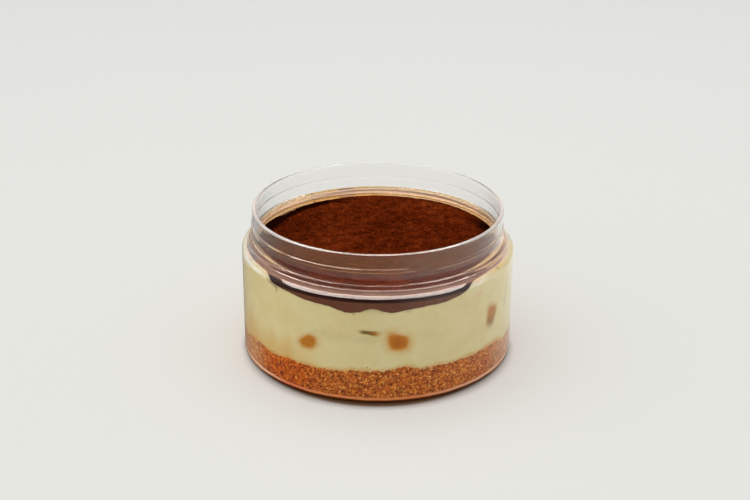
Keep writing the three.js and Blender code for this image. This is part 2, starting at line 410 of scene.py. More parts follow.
def build_jar():
    outer = np.concatenate(
        [
            [(6.0, PUSH_UP), (18.0, PUSH_UP), (FOOT_IN_R - 6, PUSH_UP)],
            run((FOOT_IN_R - 5, PUSH_UP - 0.06), (FOOT_IN_R - 0.4, 0.02), 5),
            [(FOOT_IN_R + 0.4, 0.0)],
            np.array([BODY_R - 0.8, 0.75]) + np.array([0.8, 0.75]) * arc(0, 0, 1, -90, 0, 12),
            run((BODY_R, 1.7), (BODY_R, FOOT_Z - 0.3), 24),
            neck_foot(),
            run((NECK_R, 39.0), (NECK_R, 40.2), 5),
            run((NECK_R, 40.25), (NECK_R, 42.9), 38),
            run((NECK_R, 43.2), (NECK_R, JAR_H - 1.5), 4),
            run((NECK_R + 0.02, JAR_H - 1.2), (NECK_R + 0.10, JAR_H - 0.75), 2),
            rim_lip(),
            [(BORE_R - 0.02, JAR_H - 0.75), (BORE_R, JAR_H - 1.1)],
        ]
    )
    inner = np.concatenate([run((BORE_R, JAR_H - 1.5), (BORE_R, 37.4), 10), cavity(0.0, 24)[::-1]])
    inner = np.concatenate(
        [inner, [(FOOT_IN_R, BASE_T + 0.15), (FOOT_IN_R - 6, PUSH_UP + BASE_T), (18, PUSH_UP + BASE_T), (6, PUSH_UP + BASE_T)]]
    )
    profile = np.concatenate([outer, inner])
    count = 288
    az = np.arange(count) * 360.0 / count
    r = np.repeat(profile[:, :1], count, 1)
    z = np.repeat(profile[:, 1:], count, 1)
    # the thread, one low turn with bevelled flanks that runs out at both ends
    t = (away(az, THREAD_START) % 360.0) / THREAD_TURN
    run_out = np.clip(40 * np.minimum(t, 1 - t) + 0.2, 0, 1)
    # it is lower on the far side
    run_out = run_out * (1 - 0.75 * smooth((np.abs(away(az, -3)) - 78) / 30))
    run_out = run_out * (1 - 0.5 * smooth((away(az, 0) - 20) / 15) * smooth((100 - away(az, 0)) / 20))
    crest_z = THREAD_Z - 0.42 + THREAD_RISE * t
    flank = 1 - smooth((np.abs(z - crest_z[None, :]) - 0.34) / 0.40)
    is_neck = np.zeros(len(profile), bool)
    is_neck[: len(outer)] = (outer[:, 1] > 40.0) & (outer[:, 1] < 43.4)
    r = r + is_neck[:, None] * flank * run_out[None, :] * (THREAD_R - NECK_R) * 0.72
    # moulding: the wall is a little wavy
    p = around(r, az[None, :], z)
    wave = noise(p.reshape(-1, 3) / 14.0, 71).reshape(r.shape) * 0.05
    wave = wave * smooth((z - 1.5) / 4) * (1 - 0.85 * smooth((z - 30.5) / 2.5)) * smooth((45.5 - z) / 3)
    grid = around(r + wave, az[None, :], z)
    return shell("clear_jar", grid, (0, 0, PUSH_UP), (0, 0, PUSH_UP + BASE_T))


# ---- food, as sections round the axis -------------------------------------------------------------
def split_cavity(e, az, surface, index_from=0):
    """Where the wall line meets a surface, as a position along the line, for each azimuth."""
    line = cavity(e)
    heights = surface(line[:, 0][:, None], az[None, :])
    above = line[:, 1][:, None] >= heights
    above[:index_from] = False
    first = above.argmax(0)
    first = np.maximum(first, 1)
    cols = np.arange(len(az))
    gap1 = line[first, 1] - heights[first, cols]
    gap0 = line[first - 1, 1] - heights[first - 1, cols]
    t = np.clip(gap0 / (gap0 - gap1 + 1e-9), 0, 1)
    return first - 1 + t


def along(line, s):
    i = np.clip(np.floor(s).astype(int), 0, len(line) - 2)
    t = (s - i)[..., None]
    return line[i] * (1 - t) + line[i + 1] * t


BISCUITS = {
    # corners at the wall as (azimuth, height), depth, how much cream lies over it, how ragged, seed
    "biscuit_left": ([(-34.6, 16.6), (-31.6, 19.0), (-28.4, 20.5), (-24.8, 20.0), (-24.2, 17.2), (-27.5, 14.9), (-32.0, 15.2)], 6.0, 0.10, 0.10, 11),
    "biscuit_centre": ([(3.2, 24.0), (8.2, 23.1), (13.4, 22.0), (14.4, 20.0), (13.2, 17.1), (9.2, 16.6), (4.4, 16.9), (3.3, 20.6)], 7.0, 0.16, 0.06, 12),
    "biscuit_sliver": ([(-10.8, 23.3), (-5.0, 23.8), (-0.4, 23.6), (3.2, 22.9), (-0.2, 22.0), (-3.8, 22.7), (-7.0, 23.0)], 3.4, 0.05, 0.06, 13),
    "biscuit_right": ([(51.6, 24.6), (55.0, 24.1), (59.5, 22.6), (57.6, 19.3), (55.0, 16.5), (51.2, 18.1), (51.5, 21.4)], 4.8, 0.06, 0.08, 14),
    "biscuit_back_left": ([(137, 18.0), (140, 21.6), (146, 20.4), (147, 17.2), (141, 16.3)], 5.6, 0.16, 0.16, 15),
    "biscuit_back": ([(193, 25.2), (199, 25.0), (201, 21.0), (198, 19.2), (194, 20.0)], 5.0, 0.12, 0.14, 16),
    "biscuit_side": ([(257.5, 18.4), (262, 20.6), (266.4, 19.2), (264, 16.6), (259, 16.4)], 5.0, 0.20, 0.16, 17),
}


def outline(spec):
    """Middle of a biscuit piece at the wall, and its reach from there in each direction, in millimetres."""
    corners, _, _, ragged, seed = spec
    c = np.array(corners, float)
    a0, z0 = c.mean(0)
    x, y = (c[:, 0] - a0) * RAD * 41.7, c[:, 1] - z0
    turn = np.arange(0, 360, 3.0)
    dx, dy = np.cos(turn * RAD), np.sin(turn * RAD)
    reach = np.full(turn.shape, 99.0)
    for k in range(len(x)):
        x0, y0, x1, y1 = x[k - 1], y[k - 1], x[k], y[k]
        ex, ey = x1 - x0, y1 - y0
        det = dx * ey - dy * ex
        det = np.where(np.abs(det) < 1e-9, 1e-9, det)
        far = (x0 * ey - y0 * ex) / det
        side = (x0 * dy - y0 * dx) / det
        hit = (far > 0) & (side >= -1e-6) & (side <= 1 + 1e-6)
        reach = np.where(hit, np.minimum(reach, far), reach)
    for _ in range(30):
        reach = (np.roll(reach, 1) + 2 * reach + np.roll(reach, -1)) / 4
    ring = np.stack([dx * 1.6, dy * 1.6, np.full_like(dx, seed * 3.7)], -1)
    reach = 1.08 * reach * (1 + ragged * fractal(ring, 3, 0.6, seed))
    return a0, z0, turn, reach


OUTLINES = {name: outline(spec) for name, spec in BISCUITS.items()}


def on_piece(name, az, z):
    """How far a point of the wall is from the middle of a biscuit piece: 1 at its edge."""
    a0, z0, turn, reach = OUTLINES[name]
    x, y = away(az, a0) * RAD * 41.7, z - z0
    angle = np.degrees(np.arctan2(y, x)) % 360
    fine = 0.05 * noise(np.stack([x, y, 0 * x], -1) / 0.45, 19)
    return np.hypot(x, y) / np.interp(angle, turn, reach, period=360) + fine


def veil(e, start):
    """Share of cream over a biscuit piece: 0 in its middle, 1 beyond its edge."""
    return smooth((e - 0.34 + start) / (1.08 + start))


def build_cream():
    az = np.arange(640) * 360.0 / 640
    line = cavity(IN_WALL)
    low = split_cavity(IN_WALL, az, lambda r, a: crumb_top(r, a) - 0.5)
    high = split_cavity(IN_WALL, az, cream_top, 10)
    bottom_r = np.array([4, 12, 20, 28, 34, 38, 40.5])[:, None]
    bottom = around(bottom_r, az, crumb_top(bottom_r, az) - 0.4)
    # most rows end where the wall does, the rest follow the shoulder
    bend = np.minimum(high - 0.6, 7 + np.interp(33.2, line[7:128, 1], np.arange(121)))
    t = np.linspace(0, 1, 78)[:, None]
    over = np.linspace(0, 1, 17)[1:, None]
    s = np.concatenate([low * (1 - t) + bend * t, bend * (1 - over) + high * over])
    rz = along(line, s)
    wall_r, wall_z = rz[..., 0], rz[..., 1]
    wall = around(wall_r, az, wall_z)
    edge_r = wall_r[-1]
    in_t = np.array([0.97, 0.92, 0.85, 0.7, 0.5, 0.3, 0.1])[:, None]
    top_r = edge_r[None, :] * in_t
    top = around(top_r, az, cream_top(top_r, az))
    grid = np.concatenate([bottom, wall, top])
    # under the shoulder at the sides and the back, the cream does not quite reach the plastic
    turned = away(az, -3.5)
    loose = smooth(np.where(turned > 0, (turned - 92) / 16, (-turned - 60) / 12)) * (1 - smooth((26 - np.abs(away(az, 196))) / 8))
    loose = loose[None, :] * (0.55 + 0.45 * noise(wall / 4.0, 33)) * smooth((wall_z - 31.2 + 0.8 * noise(wall / 5.0, 34)) / 1.2)
    n = len(bottom)
    far = (smooth((np.abs(turned) - 70) / 12) * (1 - smooth((30 - np.abs(away(az, 196))) / 10)))[None, :]
    grid[n : n + len(wall), :, :2] *= (1 - (0.9 + 0.9 * far) * loose / 42)[..., None]
    grid[n : n + len(wall), :, 2] -= (0.7 + 1.1 * far) * loose * smooth((wall_z - 32.6) / 1.2)
    # shallow dents and wipes where the cream lies against the wall
    n = len(bottom)
    p = wall.reshape(-1, 3)
    dents = 0.05 * noise(p / np.array([5.0, 5.0, 3.0]), 31) + 0.02 * noise(p / 1.1, 32)
    grid[n : n + len(wall), :, :2] *= (1 + np.minimum(dents, 0.02).reshape(wall_r.shape) / 42)[..., None]
    shape = grid.shape[:2]
    halo = np.zeros(shape)
    for name, spec in BISCUITS.items():
        e = on_piece(name, az[None, :] + 0 * wall_z, wall_z)
        halo[n : n + len(wall)] = np.maximum(halo[n : n + len(wall)], 1 - veil(e, spec[2]))
    # wipes and blobs of thicker, paler cream round the shoulder, paler still towards both sides, which is a painted
    # reflection, and the stain that the crumbs leave
    pale, stain = np.zeros(shape), np.zeros(shape)
    under = smooth((wall_z - 31.8) / 1.6)
    streak = fractal(wall / np.array([4.0, 4.0, 1.1]), 3, 0.6, 41)
    whole = smooth((np.abs(turned) - 50) / 12)[None, :] * np.where(turned > 0, 0.35, 1.0)[None, :]
    blobs = 1.15 * hump(az, -60, 11)[None, :] * smooth((wall_z - 32.6) / 0.8) + hump(az, 49, 7)[None, :] * smooth((wall_z - 32.7) / 0.8)
    pale[n : n + len(wall)] = np.minimum(
        under * np.maximum(0.5 * smooth((streak - 0.05) / 0.35), whole * (0.22 + 0.5 * streak)) + blobs * (0.8 + 0.5 * streak), 1.2
    )
    above = wall_z - crumb_wall(az)[None, :]
    patch = 0.5 + 0.5 * noise(around(30.0, az[None, :], 2.0 + 0 * wall_z) / 2.4, 42)
    stain[n : n + len(wall)] = smooth(1 - above / (0.5 + 1.5 * patch)) * (0.35 + 0.65 * patch)
    # a crease on the right, where two spoonfuls meet, drawn as a line of painted shade
    line_az = 65.9 + (wall_z - 20.0) * 0.47 + 1.2 * noise(np.stack([0 * wall_z, 0 * wall_z, wall_z / 3.0], -1), 43)
    crease = np.exp(-((away(az[None, :], line_az) * 0.73 / 0.6) ** 2)) * smooth((wall_z - 18.5) / 2) * smooth((31 - wall_z) / 2)
    fold = np.zeros(shape)
    fold[n : n + len(wall)] = crease

    def patches(*items):
        # soft patches at (azimuth, height, half width in degrees, half height, tilt in mm per degree, strength)
        rag = 1 + 0.35 * noise(wall / 0.9, 47)
        total = 0.0
        for a0, z0, wide, tall, tilt, strength in items:
            a = away(az[None, :], a0)
            d = np.hypot(a / wide, (wall_z - z0 - tilt * a) / tall) * rag
            total = total + strength * (1 - smooth((d - 0.45) / 0.75))
        out = np.zeros(shape)
        out[n : n + len(wall)] = np.minimum(total, 1.0)
        return out

    cocoa_low = band_edge(az)[None, :] - wall_z
    spot = patches(
        (-70.0, 33.6, 1.1, 0.5, 0, 0.7), (-46.5, 32.2, 4.2, 0.60, -0.19, 0.55), (-45.0, 31.1, 0.8, 1.0, 0, 0.45),
        (-9.0, 28.8, 0.7, 0.3, 0, 0.6), (12.0, 29.6, 1.6, 0.25, 0, 0.35), (61.0, 34.0, 1.2, 0.4, -0.1, 0.5),
    )
    spot[n : n + len(wall)] += (
        0.55 * np.exp(-np.maximum(cocoa_low, 0) / 0.75) * hump(az, -1.6, 4.5)[None, :] + 0.30 * np.exp(-np.maximum(cocoa_low, 0) / 0.25)
    ) * (cocoa_low > -1)
    pink = patches(
        (-24.6, 18.4, 2.2, 1.5, 0, 0.45), (45.6, 29.9, 1.9, 1.1, 0, 0.5), (45.5, 34.0, 1.6, 0.5, 0, 0.5), (-47.0, 34.2, 7.0, 0.6, 0.05, 0.6), (-76.0, 33.6, 7.0, 1.3, 0, 0.7),
        (75.0, 30.0, 5.0, 3.5, 0, 0.25), (8.0, 25.2, 4.0, 0.8, 0, 0.12),
    )
    # under the ledge the cream beside the cocoa is stained by it
    ends = smooth((turned - 44) / 8) * (1 - smooth((turned - 98) / 10)) + smooth((-turned - 48) / 8) * (1 - smooth((-turned - 98) / 10))
    beside = smooth((40.9 - wall_r) / 0.8) * ends[None, :]
    pink[n : n + len(wall)] = np.maximum(pink[n : n + len(wall)], 0.60 * beside)
    spot[n : n + len(wall)] = np.maximum(spot[n : n + len(wall)], beside * np.clip(0.38 + 0.35 * streak, 0, 0.7))
    gold = patches((62.0, 34.0, 9.0, 0.75, -0.06, 0.7), (74.0, 33.2, 9.0, 0.9, 0, 0.35))
    shade = patches((-4.8, 21.0, 6.0, 1.5, 0, 0.55), (-17.5, 21.2, 9.0, 1.6, 0, 0.4), (-25.5, 21.4, 4.0, 1.2, 0, 0.3), (3.4, 19.5, 2.4, 3.0, 0, 0.4))
    olive = patches((-3.3, 23.2, 7.5, 1.6, 0, 1.0), (54.0, 17.2, 4.0, 1.8, 0, 0.5))
    left = np.zeros(shape)
    left[n : n + len(wall)] = (smooth((-away(az, 0) - 18) / 24) * smooth((away(az, 0) + 150) / 60))[None, :] * smooth((16.5 + 6 * patch - wall_z) / 9.0)
    # painted shade: the cream darkens just under the shoulder, and on its top
    lid = np.zeros(shape)
    lid[n : n + len(wall)] = smooth((wall_z - 33.0) / 0.9)
    lid[n + len(wall) :] = 1.0
    marks = {
        "lid": lid, "halo": halo, "pale": pale, "stain": stain, "fold": fold, "spot": spot, "pink": pink, "gold": gold, "shade": shade,
        "olive": olive, "soaked": left,
    }
    return shell(
        "cream_fill", grid, (0, 0, CRUMB_Z - 0.4), (0, 0, CREAM_TOP_Z),
        {key: np.append(value.ravel(), [0, 0]) for key, value in marks.items()},
    )


def build_cocoa():
    az = np.arange(720) * 0.5
    e = IN_WALL + 0.02
    line = cavity(e)
    low = split_cavity(e, az, lambda r, a: cream_top(r, a) - 0.03, 10)
    # where the powder ends at the neck wall, slightly ragged
    rag = 0.16 * fractal(around(38.0, az, 0.0) / 1.4, 3, 0.6, 51)
    edge_z = cocoa_top(BORE_R, az) + rag
    high = split_cavity(e, az, lambda r, a: edge_z[None, :] + 0 * r, 130)
    in_t = np.array([0.1, 0.3, 0.5, 0.7, 0.85, 0.92, 0.97])[:, None]
    edge_r = along(line, low)[:, 0]
    under_r = edge_r[None, :] * in_t
    under = around(under_r, az, cream_top(under_r, az) - 0.1)
    t = np.linspace(0, 1, 40)[:, None]
    rz = along(line, low[None, :] * (1 - t) + high[None, :] * t)
    wall = around(rz[..., 0], az, rz[..., 1])
    # top, with powder relief
    top_r = np.concatenate([[37.9, 37.8, 37.65], np.linspace(37.4, 1.0, 76)])[:, None]
    z = cocoa_top(top_r, az[None, :])
    flat = around(top_r, az, 0.0 * top_r)
    p = flat.reshape(-1, 3)
    broad = 0.10 * fractal(p / 9.0, 3, 0.5, 52)
    lumps = 0.21 * fractal(p / 1.7, 3, 0.6, 53)
    pits = -0.02 * smooth((noise(p / 1.15, 54) - 0.30) / 0.6)
    grain = 0.13 * fractal(p / 0.55, 2, 0.6, 55)
    relief = (broad + lumps + pits + grain).reshape(z.shape)
    fade = smooth((38.0 - top_r) / 0.9)
    grid_top = around(top_r, az, z + relief * fade + rag[None, :] * (1 - fade))
    grid = np.concatenate([under, wall, grid_top])
    first = len(under)
    wall_mark = np.zeros(grid.shape[:2])
    wall_mark[first : first + len(wall)] = np.where(rz[..., 1] < 35.2, 1.0, 0.0)
    wall_mark[: len(under)] = 1.0
    # painted shade: nearly black where the cocoa turns in under the shoulder
    shoulder_shade_mark = np.zeros(grid.shape[:2])
    shoulder_shade_mark[first : first + len(wall)] = smooth((rz[..., 1] - 32.55) / 0.3) * smooth((34.02 - rz[..., 1]) / 0.12)
    # painted light: the cocoa under the ledge is lighter and greyer, as if lit through it
    wiped = np.zeros(grid.shape[:2])
    wiped[first : first + len(wall)] = smooth((rz[..., 1] - 33.98) / 0.1) * (0.58 + 0.5 * fractal(wall / np.array([5.0, 5.0, 0.8]), 3, 0.6, 57))
    # painted shade on the top of the powder
    moist = np.zeros(grid.shape[:2])
    moist[first + len(wall) :] = cocoa_shade(top_r, az[None, :])
    # painted shade: the top's tone follows its relief, darker in pits and lighter on lumps
    height = np.zeros(grid.shape[:2])
    height[len(under) + len(wall) :] = np.clip(0.5 + (lumps + pits + grain).reshape(z.shape) * 2.0, 0, 1) * fade
    return shell(
        "cocoa_fill", grid, (0, 0, CREAM_TOP_Z), (0, 0, float(cocoa_top(0.0, 0.0))),
        {
            "pressed": np.append(wall_mark.ravel(), [1, 0]),
            "height": np.append(height.ravel(), [0, 0.5]),
            "turn": np.append(shoulder_shade_mark.ravel(), [0, 0]),
            "wiped": np.append(wiped.ravel(), [0, 0]),
            "moist": np.append(moist.ravel(), [0, 0]),
        },
    )


def build_biscuit(name, spec):
    _, deep, cream_share, _, seed = spec
    a0, z0, turn, reach = OUTLINES[name]
    bm = bmesh.new()
    bmesh.ops.create_icosphere(bm, subdivisions=4, radius=1.0)
    v = np.array([x.co[:] for x in bm.verts])
    f = np.array([[x.index for x in face.verts] for face in bm.faces])
    bm.free()
    bump = 1 + 0.07 * fractal(v * 1.9 + seed, 3, 0.6, seed) + 0.04 * noise(v * 7.0 + seed, seed + 60)
    pores = -0.10 * smooth((noise(v * 5.0 + 2 * seed, seed + 70) - 0.2) / 0.4)
    u = v
    v = v * (bump + pores)[:, None]
    # a rounded block whose section is the outline at the wall
    angle = np.degrees(np.arctan2(u[:, 2], u[:, 0])) % 360
    stretch = np.interp(angle, turn, reach, period=360) * 1.42
    flatter = np.abs(v[:, 1]) ** 0.8 * np.sign(v[:, 1])
    wider = (1 - np.abs(u[:, 1]) ** 2.6) ** (1 / 2.6) / np.maximum(np.hypot(u[:, 0], u[:, 2]), 1e-3)
    wider = wider * np.where(u[:, 1] > 0.05, bump + pores, 1.0)
    x, z = u[:, 0] * stretch * wider, u[:, 2] * stretch * wider
    y = flatter * deep / 2 - (BODY_R - WALL - 0.3) + deep * 0.30
    c, s = math.cos(a0 * RAD), math.sin(a0 * RAD)
    px, py, pz = x * c - y * s, x * s + y * c, z + z0
    r = np.hypot(px, py)
    az = np.degrees(np.arctan2(px, -py))
    e = on_piece(name, az, pz)
    # pressed flat against the wall, its edges falling back behind the cream
    limit = BODY_R - WALL + IN_WALL + 0.035 - 0.34 * smooth((e - 1.02) / 0.46)
    k = np.where(u[:, 1] < 0.05, limit / r, np.minimum(1.0, limit / r))
    points = np.stack([px * k, py * k, pz], -1)
    core, olive = {"biscuit_centre": (1.0, 0.0), "biscuit_sliver": (0.6, 1.0), "biscuit_left": (0.25, 0.12), "biscuit_right": (0.2, 0.15)}.get(name, (0.4, 0.0))
    fill = np.ones(len(e))
    low = smooth((z0 + 0.5 - pz) / 3.0) if name == "biscuit_right" else 0.0
    low = -1.5 * smooth((away(az, -3.5)) / 3.5) if name == "biscuit_sliver" else low
    return make_mesh(
        name + "_piece", points, [f], {"cover": veil(e, cream_share), "core": core * fill, "olive": np.clip(olive * fill + 0.5 * low, 0, 1)}
    )


def lumpy_bases(subdivisions, variants, seed, rough=0.3):
    """Angular unit crumbs, several variants: (variants, n, 3) and faces."""
    bm = bmesh.new()
    bmesh.ops.create_icosphere(bm, subdivisions=subdivisions, radius=1.0)
    v = np.array([x.co[:] for x in bm.verts])
    f = np.array([[x.index for x in face.verts] for face in bm.faces])
    bm.free()
    shapes = []
    for k in range(variants):
        n1 = noise(v * 1.3 + 31.7 * k, seed + k)
        n2 = noise(v * 3.1 + 11.1 * k, seed + 100 + k)
        shapes.append(v * (1 + rough * n1 + rough * 0.6 * n2)[:, None])
    return np.array(shapes), f


def scatter(name, centres, sizes, seed, subdivisions=1, flat=0.65, limit=None, attributes=None, lowest=None):
    """Many crumbs joined in one piece. sizes are diameters. limit is the largest radius from the axis."""
    g = np.random.default_rng(seed)
    shapes, f = lumpy_bases(subdivisions, 24, seed)
    n, nv = len(centres), shapes.shape[1]
    pick = g.integers(0, len(shapes), n)
    v = shapes[pick] * (np.asarray(sizes) / 2)[:, None, None]
    v = v * g.uniform(flat, 1.15, (n, 1, 3))
    q = g.normal(size=(n, 4))
    q /= np.linalg.norm(q, axis=1)[:, None]
    w, x, y, z = q.T
    turn = np.stack(
        [
            np.stack([1 - 2 * (y * y + z * z), 2 * (x * y - z * w), 2 * (x * z + y * w)], -1),
            np.stack([2 * (x * y + z * w), 1 - 2 * (x * x + z * z), 2 * (y * z - x * w)], -1),
            np.stack([2 * (x * z - y * w), 2 * (y * z + x * w), 1 - 2 * (x * x + y * y)], -1),
        ],
        1,
    )
    points = np.einsum("nij,nvj->nvi", turn, v) + np.asarray(centres)[:, None, :]
    points = points.reshape(-1, 3)
    if limit is not None:
        r = np.hypot(points[:, 0], points[:, 1])
        reach = np.repeat(np.broadcast_to(limit, (n,)), nv)
        k = np.minimum(1.0, reach / np.maximum(r, 1e-6))
        points[:, :2] *= k[:, None]
    if lowest is not None:
        points[:, 2] = np.maximum(points[:, 2], lowest)
    faces = (f[None] + (np.arange(n) * nv)[:, None, None]).reshape(-1, 3)
    marks = {"tone": np.repeat(g.random(n), nv)}
    for key, values in (attributes or {}).items():
        marks[key] = np.repeat(values, nv)
    return make_mesh(name, points, [faces], marks)


def cells(u, v, w, seed):
    """Cells round jittered points of a grid that is w long in u: (nearest, second nearest, number of the nearest)."""
    cu, cv = np.floor(u).astype(np.int64), np.floor(v).astype(np.int64)
    best = np.full(u.shape, 9.0)
    second = np.full(u.shape, 9.0)
    number = np.zeros(u.shape)
    for du in (-1, 0, 1):
        for dv in (-1, 0, 1):
            iu, iv = cu + du, cv + dv
            ku = iu % w
            ju = iu + 0.5 + 0.42 * lattice(ku, iv, 0 * iv, seed)
            jv = iv + 0.5 + 0.42 * lattice(ku, iv, 0 * iv + 1, seed)
            d = np.hypot(u - ju, v - jv)
            tag = lattice(ku, iv, 0 * iv + 2, seed) * 0.5 + 0.5
            nearer = d < best
            second = np.where(nearer, best, np.minimum(second, d))
            number = np.where(nearer, tag, number)
            best = np.where(nearer, d, best)
    return best, second, number


def crumb_ragged(az):
    return 0.24 * noise(around(41.5, az, 0.0) / 1.1, 91) + 0.20 * noise(around(41.5, az, 0.0) / 0.45, 92)


def build_crumb_core():
    count, rows = 1120, 68
    az = np.arange(count) * 360.0 / count
    top_line = crumb_top(41.0, az) + crumb_ragged(az)
    base = BODY_R - WALL
    heel_z = 1.75
    t = np.linspace(0, 1, rows)[:, None]
    z = heel_z * (1 - t) + top_line[None, :] * t
    # crumbs about 0.7 mm wide, with smaller ones in their gaps
    turn = 2 * math.pi * base
    u, v = az[None, :] / 360.0 + 0 * z, z
    p = around(base, az[None, :], z)
    warp = 0.30 * noise(p / 0.8, 93)
    w1 = int(turn / 0.74)
    f1, f2, tag = cells(u * w1, (v + warp) / 0.60, w1, 94)
    w2 = int(turn / 0.40)
    g1, g2, tag2 = cells(u * w2, (v + warp) / 0.34, w2, 95)
    crumb = smooth((f2 - f1) / 0.30) * (1 - 0.55 * np.minimum(f1, 1) ** 2)
    small = smooth((g2 - g1) / 0.35)
    hollow_shade = smooth((noise(p / 0.75, 96) - 0.28) / 0.3)
    relief = 0.02 + 0.13 * crumb + 0.06 * small + 0.07 * (tag - 0.5)
    fade = smooth((top_line[None, :] - z) / 0.4) * smooth((z - heel_z) / 0.15)
    r = base + np.maximum(relief * fade, 0.02)
    wall = around(r, az, z)
    # the foot: a hair of air where the heel begins, then crumbs down into the corner
    foot = np.array(
        [(36.0, 0.42), (39.0, 0.30), (40.8, 0.16), (41.7, 0.13), (42.15, 0.26), (42.38, 0.55), (42.40, 0.98), (42.22, 1.22), (41.80, 1.44), (41.64, 1.66)]
    )
    uneven = 1 + 0.08 * noise(around(20.0, az, 0.0) / 1.2, 97)
    foot_grid = around(foot[:, :1], az, foot[:, 1:] * uneven[None, :])
    bottom_r = np.array([5.0, 15.0, 25.0, FOOT_IN_R - 6])[:, None]
    bottom = around(bottom_r, az, PUSH_UP + BASE_T - IN_WALL)
    in_r = np.array([40.0, 37.0, 30.0, 20.0, 8.0])[:, None]
    top = around(in_r, az, crumb_top(in_r, az) - 0.2)
    grid = np.concatenate([bottom, foot_grid, wall, top])
    n = len(bottom) + len(foot_grid)
    tone = np.full(grid.shape[:2], 0.5)
    gap = np.zeros(grid.shape[:2])
    tone[:n] = 0.55
    # painted shade: the crumbs in the heel's corner are nearly black
    gap[: n - 3] = 1.0
    # a painted highlight: the light line over the heel, clearest at both sides
    line = np.zeros(grid.shape[:2])
    sides = 0.18 + 0.47 * smooth((away(az, 0) - 12) / 35) + 0.60 * smooth((-away(az, 0) - 38) / 16)
    line[n - 3 : n + 2] = sides[None, :] * np.array([0.6, 1.0, 0.9, 0.35, 0.1])[:, None]
    tone[n : n + rows] = 0.60 * tag + 0.40 * tag2
    # painted shade: dark between the crumbs and in their hollows
    gap[n : n + rows] = np.clip(np.clip(1 - crumb * 1.25, 0, 1) * 0.6 + 0.25 * (1 - small) + 0.7 * hollow_shade * (1 - 0.5 * crumb), 0, 1)
    return shell(
        "crumb_core", grid, (0, 0, PUSH_UP + BASE_T - IN_WALL), (0, 0, CRUMB_Z - 0.2),
        {"tone": np.append(tone.ravel(), [0.5, 0.5]), "gap": np.append(gap.ravel(), [1, 0]), "line": np.append(line.ravel(), [0, 0])},
    )


def build_crumbs():
    pieces = []
    specs = [
        # name, count, smallest, largest, how deep their middle lies behind the wall, subdivisions
        ("crumbs_medium", 1250, 0.55, 1.35, 0.30, 2),
        ("crumbs_fine", 6200, 0.22, 0.60, 0.22, 1),
    ]
    for k, (name, count, small, large, back, sub) in enumerate(specs):
        g = np.random.default_rng(900 + k)
        az = g.uniform(0, 360, count)
        size = small + (large - small) * g.random(count) ** (2.0, 1.5)[k]
        height = crumb_top(41.5, az) + crumb_ragged(az)
        z = 1.9 + (height - size * 0.45 - 1.9) * g.random(count)
        # some lie along the uneven top edge, a few strayed into the cream
        edge = g.random(count) < (0.07, 0.10)[k]
        z = np.where(edge, height - size * 0.35 + 0.16 * g.normal(size=count), z)
        stray = g.random(count) < (0.006, 0.020)[k]
        z = np.where(stray, height + g.exponential(0.6, count) + 0.1, z)
        r = BODY_R - WALL + IN_WALL - back * size * g.uniform(0.75, 1.35, count)
        centres = around(r, az, z)
        limit = BODY_R - WALL + 0.15 + 0.10 * g.random(count)
        # crumbs that strayed up under the shoulder on the right
        n = (3, 14)[k]
        patch = g.random(n)
        s_az = 59.5 + 5.0 * g.normal(size=n) * (0.5 + patch)
        line = cavity(IN_WALL - 0.02)
        turn = along(line, 7 + 120 + 1 + 10 * np.clip(0.62 + 0.30 * g.normal(size=n), 0, 1.25))
        s_size = size[:n] * 0.75
        inward = 0.22 * s_size
        centres = np.concatenate([centres, around(turn[:, 0] - inward, s_az, turn[:, 1] - inward)])
        size, limit = np.append(size, s_size), np.append(limit, np.full(n, 60.0))
        # a tenth of the loose crumbs, at random, are darkened with the painted shade of the gaps
        marks = {"gap": np.where(g.random(len(size)) < 0.10, 0.75, 0.0)}
        pieces.append(scatter(name, centres, size, 910 + k, sub, 0.6, limit, marks, 1.8))
    return pieces


